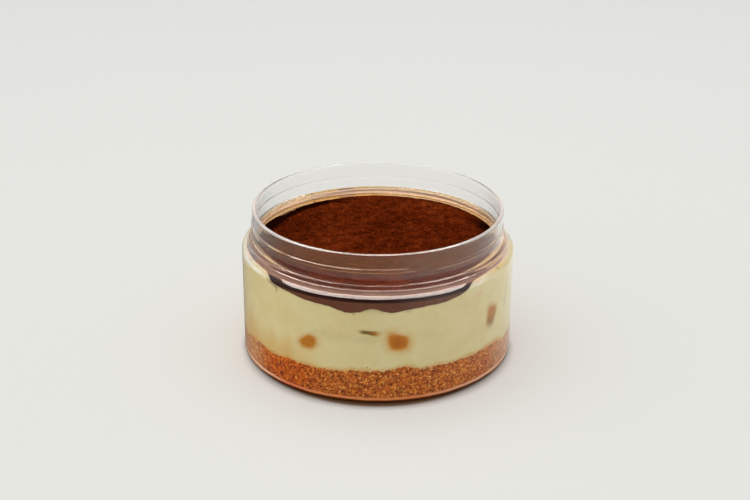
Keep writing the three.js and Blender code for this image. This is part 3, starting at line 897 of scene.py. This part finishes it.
# ---- materials ------------------------------------------------------------------------------------
def clear_plastic():
    t = Tree("clear_plastic")
    co = t.coords()
    wave = t.noise(co, 38.0, 2.0, 0.4)
    fine = t.noise(t.scaled(co, (1.0, 1.0, 2.6)), 420.0, 2.0, 0.5)
    normal = t.bump(fine, 0.04, 0.0004, t.bump(wave, 0.08, 0.002))
    rough = t.remap(t.noise(co, 90.0, 3.0, 0.6), 0.3, 0.8, 0.015, 0.05)
    place = t.node("ShaderNodeSeparateXYZ", {"Vector": co}).outputs
    x, y, height = place["X"], place["Y"], place["Z"]
    radius = t.math("SQRT", t.math("ADD", t.math("MULTIPLY", x, x), t.math("MULTIPLY", y, y)))
    # the neck's foot is a little duller than the rest
    foot = t.math("MULTIPLY", t.remap(height, 0.0340, 0.0348), t.remap(height, 0.0402, 0.0390))
    rough = t.math("ADD", rough, t.math("MULTIPLY", foot, 0.07))
    # a film of cocoa dust on the foot of the neck, thickest in a ring inside it
    patchy = t.math("MULTIPLY", t.math("SUBTRACT", t.noise(co, 240.0, 4.0, 0.6), 0.5), 0.0012)
    level = t.math("ADD", height, patchy)
    behind = t.remap(y, 0.004, 0.012)
    film = t.math("MULTIPLY", t.remap(level, t.remap(behind, 0.0, 1.0, 0.0390, 0.0379), t.remap(behind, 0.0, 1.0, 0.0366, 0.0367)), t.remap(level, 0.0336, 0.0340))
    film = t.math("MULTIPLY", film, t.remap(radius, 0.0401, 0.0397))
    tint = t.mix(film, (0.996, 0.996, 0.994), (0.99, 0.76, 0.51))
    # and browner at both ends of the front
    side = t.math("MULTIPLY", t.remap(t.math("ABSOLUTE", x), 0.020, 0.028), t.remap(level, 0.0369, 0.0361))
    side = t.math("MULTIPLY", t.math("MULTIPLY", side, film), t.remap(y, 0.012, 0.0))
    tint = t.mix(side, tint, (0.78, 0.60, 0.70), "MULTIPLY")
    # it is thicker on the far side, on the bore
    far = t.math("MULTIPLY", t.math("MULTIPLY", film, behind), t.remap(radius, 0.0386, 0.0383))
    tint = t.mix(far, tint, (1.0, 0.58, 0.43), "MULTIPLY")
    ring = t.math("ADD", t.math("ADD", height, t.math("MULTIPLY", patchy, 0.4)), t.remap(x, -0.026, -0.006, 0.0010, 0.0))
    thick = t.math("MULTIPLY", t.remap(ring, 0.0371, 0.0367), t.remap(ring, 0.0360, 0.0364))
    thick = t.math("MULTIPLY", t.math("MULTIPLY", thick, behind), t.remap(radius, 0.0385, 0.0382))
    tint = t.mix(t.math("MULTIPLY", thick, t.remap(x, 0.004, 0.020, 0.72, 1.0)), tint, (0.11, 0.036, 0.014))
    # fine dust on the front of the neck, and a thin smear of cream inside the shoulder at both sides
    ragged = t.math("MULTIPLY", t.math("SUBTRACT", t.noise(co, 60.0, 3.0, 0.6), 0.5), 0.016)
    dust = t.math("MULTIPLY", t.remap(t.math("ADD", y, ragged), -0.008, -0.034, smoothed=True), t.math("MULTIPLY", t.remap(height, 0.0384, 0.0410), t.remap(height, 0.0459, 0.0453)))
    tint = t.mix(dust, tint, (0.78, 0.51, 0.27), "MULTIPLY")
    smear = t.math("MULTIPLY", t.remap(level, 0.0324, 0.0336), t.remap(radius, 0.0392, 0.0400))
    smear = t.math("MULTIPLY", smear, t.math("MULTIPLY", t.remap(y, -0.019, -0.012), t.remap(y, 0.024, 0.014)))
    # a painted highlight: the lip is whitish and a little opaque at both sides, as a light line
    lip_highlight = t.math("MULTIPLY", t.remap(height, 0.04585, 0.0462), t.math("MULTIPLY", t.remap(y, -0.036, -0.026), t.remap(y, 0.020, 0.006)))
    tint = t.mix(lip_highlight, tint, (0.93, 0.83, 0.79))
    through = t.math("SUBTRACT", 1.0, t.math("ADD", t.math("MULTIPLY", dust, 0.058), t.math("MULTIPLY", smear, 0.06)))
    through = t.math("SUBTRACT", through, t.math("MULTIPLY", lip_highlight, 0.45))
    glass = t.node(
        "ShaderNodeBsdfPrincipled",
        {
            "Base Color": tint, "Roughness": rough, "IOR": 1.45, "Transmission Weight": through, "Normal": normal,
            "Sheen Weight": 0.06, "Sheen Roughness": 0.30, "Sheen Tint": (1.0, 0.97, 0.94),
        },
    )
    clear = t.node("ShaderNodeBsdfTransparent", {"Color": (0.97, 0.97, 0.965)})
    path = t.node("ShaderNodeLightPath")
    inner = t.node("ShaderNodeMixShader", {0: path.outputs["Is Diffuse Ray"], 1: glass.outputs[0], 2: clear.outputs[0]})
    outer = t.node("ShaderNodeMixShader", {0: path.outputs["Is Shadow Ray"], 1: inner.outputs[0], 2: clear.outputs[0]})
    return t.surface(outer.outputs[0])


CREAM = (0.75, 0.645, 0.335)
CREAM_PALE = (0.80, 0.72, 0.42)
CREAM_DEEP = (0.72, 0.59, 0.285)


def cream_colour(t, co):
    broad = t.noise(t.scaled(co, (1.0, 1.0, 1.4)), 70.0, 3.0, 0.5, 0.6)
    fine = t.noise(co, 420.0, 4.0, 0.6)
    base = t.mix(t.remap(broad, 0.30, 0.72, smoothed=True), CREAM_DEEP, CREAM)
    base = t.mix(t.remap(fine, 0.45, 0.75, 0.0, 0.30), base, CREAM_PALE)
    return base


SPONGE_CORE, SPONGE, SPONGE_EDGE, SPONGE_OLIVE = (0.47, 0.125, 0.003), (0.60, 0.225, 0.012), (0.66, 0.38, 0.13), (0.20, 0.110, 0.020)


def veiled(t, co, cover, cream):
    """Sponge under more and more cream: sponge, soaked edge, cream."""
    soft = t.math("ADD", cover, t.math("MULTIPLY", t.math("SUBTRACT", t.noise(co, 800.0, 3.0), 0.5), 0.22), clamp=True)
    inner = t.mix(t.attribute("core"), SPONGE, SPONGE_CORE)
    pores = t.remap(t.noise(co, 1300.0, 4.0, 0.65), 0.35, 0.70)
    inner = t.mix(t.math("MULTIPLY", pores, 0.45), inner, (0.34, 0.075, 0.004))
    body = t.mix(t.remap(soft, 0.0, 0.40), inner, SPONGE)
    body = t.mix(t.remap(soft, 0.25, 0.65), body, SPONGE_EDGE)
    body = t.mix(t.attribute("olive"), body, SPONGE_OLIVE)
    return t.mix(t.remap(soft, 0.28, 1.0), body, cream)


def cream_material():
    t = Tree("cream")
    co = t.coords()
    base = cream_colour(t, co)
    specks = t.voronoi(co, 900.0)
    rare = t.noise(co, 300.0, 1.0)
    speck = t.math("MULTIPLY", t.remap(specks, 0.16, 0.10), t.remap(rare, 0.66, 0.7))
    base = t.mix(t.math("MULTIPLY", speck, 0.6), base, (0.38, 0.20, 0.06))
    halo = t.attribute("halo")
    stained = veiled(t, co, t.math("SUBTRACT", 1.0, halo), base)
    base = t.mix(t.remap(halo, 0.0, 0.02), base, stained)
    stain = t.math("MULTIPLY", t.attribute("stain"), t.remap(t.noise(co, 600.0, 3.0, 0.6), 0.30, 0.65, 0.35, 1.0))
    base = t.mix(t.math("MULTIPLY", t.attribute("soaked"), 0.90), base, (0.67, 0.44, 0.15))
    base = t.mix(t.math("MULTIPLY", stain, 0.95), base, (0.62, 0.31, 0.050))
    base = t.mix(t.math("MULTIPLY", t.attribute("shade"), 0.6), base, (0.56, 0.46, 0.23))
    # paler cream, and towards both sides a painted reflection
    base = t.mix(t.math("MULTIPLY", t.attribute("pale"), 0.75), base, (0.93, 0.89, 0.75))
    # painted shade under the shoulder
    base = t.mix(t.attribute("lid"), base, (0.72, 0.64, 0.54), "MULTIPLY")
    base = t.mix(t.attribute("gold"), base, (0.62, 0.46, 0.16))
    base = t.mix(t.attribute("pink"), base, (0.80, 0.47, 0.30))
    base = t.mix(t.attribute("spot"), base, (0.17, 0.080, 0.035))
    # painted shade along the crease
    base = t.mix(t.math("MULTIPLY", t.attribute("fold"), 0.42), base, (0.40, 0.30, 0.15))
    bump = t.bump(t.noise(co, 260.0, 4.0, 0.55), 0.25, 0.0004)
    p = t.node(
        "ShaderNodeBsdfPrincipled",
        {
            "Base Color": base,
            "Roughness": t.remap(t.noise(co, 160.0, 3.0), 0.3, 0.7, 0.38, 0.6),
            "Specular IOR Level": 0.1,
            "Normal": bump,
        },
    )
    return t.surface(p.outputs[0])


def biscuit_material():
    t = Tree("biscuit")
    co = t.coords()
    base = veiled(t, co, t.attribute("cover"), cream_colour(t, co))
    p = t.node(
        "ShaderNodeBsdfPrincipled",
        {"Base Color": base, "Roughness": t.remap(t.noise(co, 500.0), 0.3, 0.7, 0.5, 0.8), "Specular IOR Level": 0.1,
         "Normal": t.bump(t.noise(co, 1300.0, 4.0), 0.5, 0.0003)},
    )
    return t.surface(p.outputs[0])


def crumb_material(name, shift=0.0):
    t = Tree(name)
    co = t.coords()
    fine = t.noise(co, 1700.0, 4.0, 0.65)
    tone = t.math("ADD", t.attribute("tone"), t.math("MULTIPLY", t.math("SUBTRACT", fine, 0.5), 0.9))
    tone = t.math("ADD", tone, shift, clamp=True)
    base = t.ramp(
        tone,
        [
            (0.04, (0.22, 0.034, 0.0060)),
            (0.26, (0.46, 0.085, 0.0100)),
            (0.50, (0.72, 0.167, 0.0150)),
            (0.76, (0.90, 0.302, 0.036)),
            (0.96, (0.98, 0.53, 0.14)),
        ],
    )
    # a deeper orange at the left of the front: painted, for the weaker reflection on the wall in front of them there
    place = t.node("ShaderNodeSeparateXYZ", {"Vector": co}).outputs
    moist = t.math("MULTIPLY", t.remap(place["X"], -0.014, -0.025, smoothed=True), t.remap(place["Y"], 0.0, -0.014))
    moist = t.math("MULTIPLY", moist, t.remap(place["X"], -0.0365, -0.0310))
    base = t.mix(moist, base, (1.0, 0.70, 0.22), "MULTIPLY")
    # and smeared with a little cream at both ends of it
    sides = t.remap(t.math("ABSOLUTE", place["X"]), 0.0325, 0.0375, smoothed=True)
    base = t.mix(t.math("MULTIPLY", sides, 0.42), base, (0.72, 0.44, 0.22))
    # painted shade between the crumbs and in the heel's corner, weaker towards both ends of the front
    gap = t.math("MULTIPLY", t.attribute("gap"), t.math("SUBTRACT", 0.9, t.math("MULTIPLY", sides, 0.35)))
    base = t.mix(gap, base, (0.040, 0.0070, 0.0010))
    # the painted highlight over the heel
    base = t.mix(t.attribute("line"), base, (0.92, 0.70, 0.50))
    p = t.node(
        "ShaderNodeBsdfPrincipled",
        {"Base Color": base, "Roughness": t.remap(t.noise(co, 700.0), 0.3, 0.7, 0.45, 0.85), "Specular IOR Level": 0.05,
         "Normal": t.bump(t.noise(co, 2600.0, 3.0, 0.6), 0.5, 0.0002)},
    )
    return t.surface(p.outputs[0])


def cocoa_material(name="cocoa"):
    t = Tree(name)
    co = t.coords()
    broad = t.noise(co, 45.0, 3.0, 0.55)
    fine = t.noise(co, 1500.0, 4.0, 0.65)
    # on the top the tone follows the relief, a painted shade; on the clumps and dust it is random
    height = t.attribute("height")
    tone = t.math("ADD", t.math("MULTIPLY", height, 0.35), t.math("MULTIPLY", fine, 0.70))
    tone = t.math("ADD", tone, t.math("MULTIPLY", t.math("SUBTRACT", broad, 0.5), 0.35))
    powder = t.ramp(
        tone,
        [(0.36, (0.032, 0.0036, 0.0006)), (0.5, (0.082, 0.0100, 0.0015)), (0.62, (0.137, 0.0200, 0.0036)), (0.80, (0.25, 0.047, 0.010))],
    )
    # painted shade: near black in two patches by the neck wall
    powder = t.mix(t.attribute("moist"), powder, (0.010, 0.0014, 0.0006))
    pressed = t.mix(t.remap(t.noise(co, 160.0, 4.0, 0.6), 0.35, 0.7), (0.135, 0.045, 0.022), (0.165, 0.058, 0.030))
    # painted shade under the shoulder's turn
    pressed = t.mix(t.attribute("turn"), pressed, (0.024, 0.0046, 0.0012))
    # painted light under the ledge
    pressed = t.mix(t.attribute("wiped"), pressed, (0.38, 0.225, 0.175))
    base = t.mix(t.attribute("pressed"), powder, pressed)
    bump = t.bump(fine, 0.9, 0.0004)
    p = t.node(
        "ShaderNodeBsdfPrincipled",
        {"Base Color": base, "Roughness": t.remap(t.noise(co, 600.0), 0.3, 0.7, 0.8, 1.0), "Specular IOR Level": 0.0, "Normal": bump},
    )
    return t.surface(p.outputs[0])


def floor_material():
    t = Tree("floor")
    co = t.coords()
    base = t.mix(t.noise(co, 3.0, 3.0), (0.600, 0.604, 0.588), (0.615, 0.619, 0.603))
    # in the gloss of the jar the table is darker at the left
    path = t.node("ShaderNodeLightPath").outputs
    seen = t.math("MULTIPLY", path["Is Glossy Ray"], t.math("SUBTRACT", 1.0, path["Is Transmission Ray"]))
    across = t.node("ShaderNodeSeparateXYZ", {"Vector": co}).outputs["X"]
    shade = t.math("ADD", t.remap(across, -0.06, 0.02, 0.20, 0.50), t.remap(across, 0.02, 0.08, 0.0, 1.0))
    dim = t.node("ShaderNodeCombineColor", {0: shade, 1: shade, 2: shade}).outputs[0]
    # a painted contact shadow: a dark line round the jar's foot
    flat = t.node("ShaderNodeSeparateXYZ", {"Vector": co}).outputs
    xx, yy = t.math("MULTIPLY", flat["X"], flat["X"]), t.math("MULTIPLY", flat["Y"], flat["Y"])
    far = t.math("ADD", xx, yy)
    ahead = t.math("DIVIDE", yy, t.math("MAXIMUM", far, 0.0001))
    reach = t.math("ADD", 0.0430, t.math("MULTIPLY", 0.0022, t.math("MULTIPLY", ahead, ahead)))
    contact_shadow = t.remap(t.math("SUBTRACT", t.math("SQRT", far), reach), 0.0, -0.0020, smoothed=True)
    base = t.mix(contact_shadow, base, (0.27, 0.13, 0.055), "MULTIPLY")
    p = t.node(
        "ShaderNodeBsdfPrincipled",
        {"Base Color": t.mix(seen, base, dim, "MULTIPLY"), "Roughness": 0.7, "Specular IOR Level": 0.2, "Normal": t.bump(t.noise(co, 900.0, 2.0), 0.03, 0.0002)},
    )
    return t.surface(p.outputs[0])


# ---- the object -----------------------------------------------------------------------------------
jar = build_jar()
jar.data.materials.append(clear_plastic())
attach(jar, "root")
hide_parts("jar")

cream = build_cream()
cream.data.materials.append(cream_material())
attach(cream, "root")
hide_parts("cream")

cocoa = build_cocoa()
cocoa.data.materials.append(cocoa_material())
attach(cocoa, "root")
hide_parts("cocoa_layer")

core = build_crumb_core()
crumb_mat = crumb_material("crumb")
core.data.materials.append(crumb_mat)
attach(core, "root")
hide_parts("crumb_base")

for piece in build_crumbs():
    piece.data.materials.append(crumb_mat)
    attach(piece, "root")

biscuit_mat = biscuit_material()
for name, spec in BISCUITS.items():
    piece = build_biscuit(name, spec)
    piece.data.materials.append(biscuit_mat)
    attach(piece, "root")
    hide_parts(name)

# loose clumps of cocoa on the powder
g = np.random.default_rng(77)
count = 3000
rr = 37.4 * np.sqrt(g.random(count))
aa = g.uniform(0, 360, count)
size = 0.22 + 0.75 * g.random(count) ** 3.5
zz = cocoa_top(rr, aa) + 0.06 * g.random(count) - size * 0.02
clumps = scatter("cocoa_clumps", around(rr, aa, zz), size, 78, 1, 0.5, 37.85, {"height": 0.25 + 0.6 * g.random(count), "moist": cocoa_shade(rr, aa)})
clumps.data.attributes.new("pressed", "FLOAT", "POINT")
clumps.data.materials.append(cocoa.data.materials[0])
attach(clumps, "root")

# dust that clings to the inside of the neck, thickest near the cocoa
g = np.random.default_rng(79)
count = 700
aa = g.uniform(0, 360, count)
size = 0.06 + 0.14 * g.random(count) ** 2.5
zz = cocoa_top(BORE_R, aa) + 0.1 + g.exponential(0.8, count)
keep = (zz < 41.0) & (np.abs(away(aa, 0)) > 70)
aa, zz, size = aa[keep], zz[keep], size[keep]
dust = scatter("cocoa_dust", around(BORE_R - 0.02, aa, zz), size, 80, 1, 0.5, BORE_R + 0.03, {"height": 0.4 + 0.4 * g.random(len(aa))})
dust.data.attributes.new("pressed", "FLOAT", "POINT")
dust.data.materials.append(cocoa.data.materials[0])
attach(dust, "root")

# ---- studio ---------------------------------------------------------------------------------------
bm = bmesh.new()
bmesh.ops.create_circle(bm, cap_ends=True, radius=6.0, segments=96)
floor_mesh = bpy.data.meshes.new("studio_floor")
bm.to_mesh(floor_mesh)
bm.free()
floor = bpy.data.objects.new("studio_floor", floor_mesh)
bpy.context.scene.collection.objects.link(floor)
floor.data.materials.append(floor_material())


def area(name, place, aim, size, power, colour=(1, 1, 1)):
    light = bpy.data.lights.new(name, "AREA")
    light.shape = "RECTANGLE"
    light.size, light.size_y = size
    light.energy = power
    light.color = colour
    ob = bpy.data.objects.new(name, light)
    bpy.context.scene.collection.objects.link(ob)
    z = np.array(place, float) - np.array(aim, float)
    z /= np.linalg.norm(z)
    x = np.cross((0, 1, 0.01), z)
    x /= np.linalg.norm(x)
    y = np.cross(z, x)
    m = Matrix.Identity(4)
    for i in range(3):
        m[i][0], m[i][1], m[i][2], m[i][3] = x[i], y[i], z[i], place[i]
    ob.matrix_world = m
    return ob


lamp = area("lamp_over", (0.0, 0.175, 2.0), (0, 0, 0), (0.17, 0.17), 19.2, (1.0, 1.0, 0.99))
lamp.visible_glossy = False
lamp.visible_transmission = False

# what only the gloss sees: the large softbox overhead, from the zenith to well behind the jar
panel = area("softbox_over", (-0.025, 0.185, 0.6), (-0.025, 0.185, 0), (0.75, 0.53), 16.3, (1.0, 0.86, 0.78))
panel.visible_diffuse = False
panel.visible_camera = False

# the room: bright at both sides, dimmer in front, and dark above the camera as far as gloss is concerned
world = bpy.data.worlds.new("studio")
bpy.context.scene.world = world
world.use_nodes = True
w = world.node_tree
back = w.nodes["Background"]


def wnode(kind, **props):
    n = w.nodes.new(kind)
    for key, value in props.items():
        setattr(n, key, value)
    return n


def wmath(op, a, b=0.0, clamp=False):
    n = wnode("ShaderNodeMath", operation=op, use_clamp=clamp)
    for i, value in enumerate((a, b)):
        if isinstance(value, bpy.types.NodeSocket):
            w.links.new(value, n.inputs[i])
        else:
            n.inputs[i].default_value = value
    return n.outputs[0]


axis = wnode("ShaderNodeSeparateXYZ")
w.links.new(wnode("ShaderNodeTexCoord").outputs["Generated"], axis.inputs[0])
side = wmath("POWER", wmath("ABSOLUTE", axis.outputs["X"]), 1.5)
left = wmath("POWER", wmath("MAXIMUM", wmath("MULTIPLY", axis.outputs["X"], -1.0), 0.0), 1.5)
light = wmath("ADD", wmath("ADD", 0.515, wmath("MULTIPLY", side, 0.50)), wmath("MULTIPLY", left, 0.52))
# front and above, up to 65 degrees
forward = wmath("MULTIPLY", wmath("SUBTRACT", -0.10, axis.outputs["Y"]), 5.0, True)
below = wmath("MULTIPLY", wmath("SUBTRACT", 0.93, axis.outputs["Z"]), 8.0, True)
dark = wmath("MULTIPLY", wmath("MULTIPLY", forward, below), wmath("SUBTRACT", 1.0, side))
gloss = wmath("ADD", wmath("SUBTRACT", 0.80, wmath("MULTIPLY", dark, 0.76)), wmath("MULTIPLY", side, 0.45))
gloss = wmath("SUBTRACT", gloss, wmath("MULTIPLY", left, 0.65))
rays = wnode("ShaderNodeLightPath")


def choose(fac, a, b):
    return wmath("ADD", wmath("MULTIPLY", fac, b), wmath("MULTIPLY", wmath("SUBTRACT", 1.0, fac), a))


mirror = wmath("MULTIPLY", rays.outputs["Is Glossy Ray"], wmath("SUBTRACT", 1.0, rays.outputs["Is Transmission Ray"]))
strength = choose(mirror, 0.80, gloss)
strength = choose(rays.outputs["Is Diffuse Ray"], strength, light)
w.links.new(strength, back.inputs["Strength"])
back.inputs[0].default_value = (1.0, 1.0, 0.985, 1)

scene = bpy.context.scene
scene.view_settings.view_transform = "Standard"
scene.view_settings.look = "None"
scene.view_settings.exposure = 0.0
scene.view_settings.gamma = 1.0
